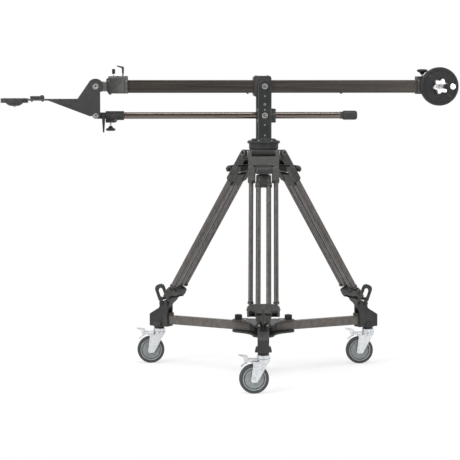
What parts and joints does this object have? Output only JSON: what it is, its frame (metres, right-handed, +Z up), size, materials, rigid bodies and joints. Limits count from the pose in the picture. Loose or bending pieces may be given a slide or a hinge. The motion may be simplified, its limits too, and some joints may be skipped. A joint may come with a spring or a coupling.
{
  "type": "camera jib crane",
  "caption": "Telescoping camera jib on a tripod and wheeled dolly: a rectangular boom with a parallel rod, a levelling head bracket with a bowl, and a weight disc on the tail.",
  "frame": {"origin": "middle of the bounding box, on the floor under the wheels", "axes": "+Z up, +X along the boom toward the weight, so that the camera head is at -X; +Y completes the right hand frame"},
  "size_m": [2.028, 0.9692, 1.3725],
  "materials": {
    "black_casting": "satin black powder coat",
    "leg_casting": "satin black anodised, slightly brown",
    "arm_extrusion": "satin warm grey anodised",
    "boom_tube": "satin brown black anodised",
    "inner_tube": "satin grey anodised",
    "leg_tube": "satin grey brown anodised",
    "zinc_plate": "bright zinc plated sheet",
    "tyre_rubber": "soft grey tyre on a grey hub",
    "black_plastic": "matt black moulded",
    "iron_disc": "matt black painted iron",
    "chrome_bar": "polished bar",
    "star_metal": "bright cast metal"
  },
  "bodies": {
    "dolly": {"dolly_hub_upper_plate": "black_casting", "dolly_hub_lower_plate": "black_casting", "dolly_arm_1": "arm_extrusion", "dolly_arm_2": "arm_extrusion", "dolly_arm_3": "arm_extrusion", "foot_bracket_1": "black_casting", "foot_bracket_2": "black_casting", "foot_bracket_3": "black_casting"},
    "caster_1": {"caster_fork_1": "zinc_plate"},
    "wheel_1": {"caster_wheel_1": "tyre_rubber"},
    "pedal_1": {"brake_pedal_1": "zinc_plate"},
    "arm_lock_1": {"arm_lock_knob_1": "black_plastic"},
    "foot_latch_1": {"foot_latch_1": "black_casting"},
    "caster_2": {"caster_fork_2": "zinc_plate"},
    "wheel_2": {"caster_wheel_2": "tyre_rubber"},
    "pedal_2": {"brake_pedal_2": "zinc_plate"},
    "arm_lock_2": {"arm_lock_knob_2": "black_plastic"},
    "foot_latch_2": {"foot_latch_2": "black_casting"},
    "caster_3": {"caster_fork_3": "zinc_plate"},
    "wheel_3": {"caster_wheel_3": "tyre_rubber"},
    "pedal_3": {"brake_pedal_3": "zinc_plate"},
    "arm_lock_3": {"arm_lock_knob_3": "black_plastic"},
    "foot_latch_3": {"foot_latch_3": "black_casting"},
    "crown": {"tripod_crown": "black_casting", "pan_base": "black_casting"},
    "leg_upper_1": {"leg_upper_1": "leg_casting"},
    "leg_lower_1": {"leg_lower_1": "leg_tube"},
    "leg_lever_1": {"leg_lever_1": "black_plastic"},
    "leg_clamp_1": {"leg_clamp_1": "black_plastic"},
    "leg_upper_2": {"leg_upper_2": "leg_casting"},
    "leg_lower_2": {"leg_lower_2": "leg_tube"},
    "leg_lever_2": {"leg_lever_2": "black_plastic"},
    "leg_clamp_2": {"leg_clamp_2": "black_plastic"},
    "leg_upper_3": {"leg_upper_3": "leg_casting"},
    "leg_lower_3": {"leg_lower_3": "leg_tube"},
    "leg_lever_3": {"leg_lever_3": "black_plastic"},
    "leg_clamp_3": {"leg_clamp_3": "black_plastic"},
    "column": {"column_yoke": "black_casting"},
    "pan_lock": {"pan_lock_knob": "black_plastic"},
    "boom": {"saddle": "black_casting", "boom_outer_tube": "boom_tube", "boom_collar": "black_casting", "tail_carrier": "black_casting", "weight_bar": "chrome_bar", "weight_disc": "iron_disc"},
    "rod": {"rod_pivot_block": "black_casting", "rod_outer_tube": "boom_tube", "rod_collar": "black_casting"},
    "boom_inner": {"boom_inner_tube": "inner_tube"},
    "rod_inner": {"rod_inner_tube": "leg_tube"},
    "head": {"head_bracket": "black_casting", "bowl_ring": "black_casting", "level_block": "black_plastic"},
    "collar_pin": {"collar_pin": "black_plastic"},
    "collar_lever": {"collar_lever": "black_plastic"},
    "rod_collar_knob": {"rod_collar_knob": "black_plastic"},
    "rod_lever": {"rod_lever": "black_plastic"},
    "tail_knob": {"tail_knob": "black_plastic"},
    "star_front": {"star_collar_front": "star_metal"},
    "star_rear": {"star_collar_rear": "star_metal"}
  },
  "joints": [
    {"name": "caster_swivel_1", "type": "hinge", "parent": "dolly", "child": "caster_1", "pos_m": [0.08333, -0.44405, 0.14], "axis": [0, 0, 1], "continuous": true},
    {"name": "wheel_spin_1", "type": "hinge", "parent": "caster_1", "child": "wheel_1", "pos_m": [0.04433, -0.44405, 0.0625], "axis": [0, 1, 0], "continuous": true},
    {"name": "brake_pedal_1", "type": "hinge", "parent": "caster_1", "child": "pedal_1", "pos_m": [0.02233, -0.44405, 0.141], "axis": [0, -1, 0], "range_deg": [0, 12]},
    {"name": "arm_lock_1", "type": "hinge", "parent": "dolly", "child": "arm_lock_1", "pos_m": [0.13178, -0.0188, 0.243], "axis": [0, 0, 1], "range_deg": [0, 360]},
    {"name": "foot_latch_1", "type": "hinge", "parent": "dolly", "child": "foot_latch_1", "pos_m": [0.0865, -0.41623, 0.282], "axis": [0.9936, -0.1132, 0], "range_deg": [0, 65]},
    {"name": "caster_swivel_2", "type": "hinge", "parent": "dolly", "child": "caster_2", "pos_m": [0.65822, 0.33287, 0.14], "axis": [0, 0, 1], "continuous": true},
    {"name": "wheel_spin_2", "type": "hinge", "parent": "caster_2", "child": "wheel_2", "pos_m": [0.61922, 0.33287, 0.0625], "axis": [0, 1, 0], "continuous": true},
    {"name": "brake_pedal_2", "type": "hinge", "parent": "caster_2", "child": "pedal_2", "pos_m": [0.59722, 0.33287, 0.141], "axis": [0, -1, 0], "range_deg": [0, 12]},
    {"name": "arm_lock_2", "type": "hinge", "parent": "dolly", "child": "arm_lock_2", "pos_m": [0.26572, 0.1622, 0.243], "axis": [0, 0, 1], "range_deg": [0, 360]},
    {"name": "foot_latch_2", "type": "hinge", "parent": "dolly", "child": "foot_latch_2", "pos_m": [0.63254, 0.3217, 0.282], "axis": [-0.3987, 0.9171, 0], "range_deg": [0, 65]},
    {"name": "caster_swivel_3", "type": "hinge", "parent": "dolly", "child": "caster_3", "pos_m": [-0.30205, 0.44228, 0.14], "axis": [0, 0, 1], "continuous": true},
    {"name": "wheel_spin_3", "type": "hinge", "parent": "caster_3", "child": "wheel_3", "pos_m": [-0.34105, 0.44228, 0.0625], "axis": [0, 1, 0], "continuous": true},
    {"name": "brake_pedal_3", "type": "hinge", "parent": "caster_3", "child": "pedal_3", "pos_m": [-0.36305, 0.44228, 0.141], "axis": [0, -1, 0], "range_deg": [0, 12]},
    {"name": "arm_lock_3", "type": "hinge", "parent": "dolly", "child": "arm_lock_3", "pos_m": [0.042, 0.18769, 0.243], "axis": [0, 0, 1], "range_deg": [0, 360]},
    {"name": "foot_latch_3", "type": "hinge", "parent": "dolly", "child": "foot_latch_3", "pos_m": [-0.27954, 0.42562, 0.282], "axis": [-0.5948, -0.8039, 0], "range_deg": [0, 65]},
    {"name": "tripod_height", "type": "slide", "parent": "dolly", "child": "crown", "axis": [0, 0, 1], "range_m": [0, 0.15]},
    {"name": "leg_angle_1", "type": "hinge", "parent": "crown", "child": "leg_upper_1", "pos_m": [0.13903, 0.04479, 0.987], "axis": [0.9936, -0.1132, 0], "range_deg": [0, 4.6]},
    {"name": "leg_extend_1", "type": "slide", "parent": "leg_upper_1", "child": "leg_lower_1", "axis": [-0.0595, -0.5221, -0.8508], "range_m": [0, 0.132]},
    {"name": "leg_lever_1", "type": "hinge", "parent": "leg_upper_1", "child": "leg_lever_1", "pos_m": [0.13117, -0.02417, 0.92409], "axis": [-0.9936, 0.1132, 0], "range_deg": [0, 60]},
    {"name": "leg_clamp_1", "type": "hinge", "parent": "leg_upper_1", "child": "leg_clamp_1", "pos_m": [0.09739, -0.32062, 0.34204], "axis": [0.9936, -0.1132, 0], "range_deg": [0, 75]},
    {"name": "leg_angle_2", "type": "hinge", "parent": "crown", "child": "leg_upper_2", "pos_m": [0.20703, 0.13668, 0.987], "axis": [-0.3987, 0.9171, 0], "range_deg": [0, 4.6]},
    {"name": "leg_extend_2", "type": "slide", "parent": "leg_upper_2", "child": "leg_lower_2", "axis": [0.4819, 0.2095, -0.8508], "range_m": [0, 0.132]},
    {"name": "leg_lever_2", "type": "hinge", "parent": "leg_upper_2", "child": "leg_lever_2", "pos_m": [0.27068, 0.16436, 0.92409], "axis": [0.3987, -0.9171, 0], "range_deg": [0, 60]},
    {"name": "leg_clamp_2", "type": "hinge", "parent": "leg_upper_2", "child": "leg_clamp_2", "pos_m": [0.5443, 0.28334, 0.34204], "axis": [-0.3987, 0.9171, 0], "range_deg": [0, 75]},
    {"name": "leg_angle_3", "type": "hinge", "parent": "crown", "child": "leg_upper_3", "pos_m": [0.09345, 0.14963, 0.987], "axis": [-0.5948, -0.8039, 0], "range_deg": [0, 4.6]},
    {"name": "leg_extend_3", "type": "slide", "parent": "leg_upper_3", "child": "leg_lower_3", "axis": [-0.4224, 0.3126, -0.8508], "range_m": [0, 0.132]},
    {"name": "leg_lever_3", "type": "hinge", "parent": "leg_upper_3", "child": "leg_lever_3", "pos_m": [0.03765, 0.19091, 0.92409], "axis": [0.5948, 0.8039, 0], "range_deg": [0, 60]},
    {"name": "leg_clamp_3", "type": "hinge", "parent": "leg_upper_3", "child": "leg_clamp_3", "pos_m": [-0.2022, 0.36839, 0.34204], "axis": [-0.5948, -0.8039, 0], "range_deg": [0, 75]},
    {"name": "pan", "type": "hinge", "parent": "crown", "child": "column", "pos_m": [0.1465, 0.11037, 1.033], "axis": [0, 0, 1], "continuous": true},
    {"name": "pan_lock", "type": "hinge", "parent": "column", "child": "pan_lock", "pos_m": [0.1465, 0.20037, 1.03365], "axis": [0, 1, 0], "range_deg": [0, 180]},
    {"name": "boom_tilt", "type": "hinge", "parent": "column", "child": "boom", "pos_m": [0.1465, 0.11037, 1.28], "axis": [0, 1, 0], "range_deg": [-40, 40]},
    {"name": "rod_tilt", "type": "hinge", "parent": "column", "child": "rod", "pos_m": [0.1465, 0.11037, 1.152], "axis": [0, 1, 0], "range_deg": [-40, 40]},
    {"name": "boom_extend", "type": "slide", "parent": "boom", "child": "boom_inner", "axis": [-1, 0, 0], "range_m": [0, 0.45]},
    {"name": "rod_extend", "type": "slide", "parent": "rod", "child": "rod_inner", "axis": [-1, 0, 0], "range_m": [0, 0.45]},
    {"name": "head_level", "type": "hinge", "parent": "boom_inner", "child": "head", "pos_m": [-0.5985, 0.11037, 1.28], "axis": [0, 1, 0], "range_deg": [-40, 40]},
    {"name": "collar_pin", "type": "slide", "parent": "boom", "child": "collar_pin", "axis": [0, 0, 1], "range_m": [0, 0.008], "stiffness_N_per_m": 600},
    {"name": "collar_lever", "type": "hinge", "parent": "boom", "child": "collar_lever", "pos_m": [-0.4775, 0.11037, 1.361], "axis": [0, 0, 1], "range_deg": [-90, 90]},
    {"name": "rod_collar_knob", "type": "hinge", "parent": "rod", "child": "rod_collar_knob", "pos_m": [-0.5325, 0.11037, 1.095], "axis": [0, 0, 1], "range_deg": [0, 360]},
    {"name": "rod_lever", "type": "hinge", "parent": "rod_inner", "child": "rod_lever", "pos_m": [-0.5645, 0.07737, 1.152], "axis": [0, -1, 0], "range_deg": [0, 90]},
    {"name": "tail_knob", "type": "hinge", "parent": "boom", "child": "tail_knob", "pos_m": [0.8595, 0.11037, 1.345], "axis": [0, 0, 1], "range_deg": [0, 360]},
    {"name": "star_front", "type": "hinge", "parent": "boom", "child": "star_front", "pos_m": [0.9285, 0.03837, 1.28], "axis": [0, 1, 0], "range_deg": [0, 360]},
    {"name": "star_rear", "type": "hinge", "parent": "boom", "child": "star_rear", "pos_m": [0.9285, 0.15637, 1.28], "axis": [0, 1, 0], "range_deg": [0, 360]}
  ],
  "couplings": [
    {"joint": "leg_angle_1", "follows": "tripod_height", "rad_per_m": 0.5247},
    {"joint": "leg_extend_1", "follows": "tripod_height", "ratio": 0.8716},
    {"joint": "leg_angle_2", "follows": "tripod_height", "rad_per_m": 0.5247},
    {"joint": "leg_extend_2", "follows": "tripod_height", "ratio": 0.8716},
    {"joint": "leg_angle_3", "follows": "tripod_height", "rad_per_m": 0.5247},
    {"joint": "leg_extend_3", "follows": "tripod_height", "ratio": 0.8716},
    {"joint": "rod_tilt", "follows": "boom_tilt", "ratio": 1},
    {"joint": "head_level", "follows": "boom_tilt", "ratio": -1},
    {"joint": "rod_extend", "follows": "boom_extend", "ratio": 1}
  ]
}
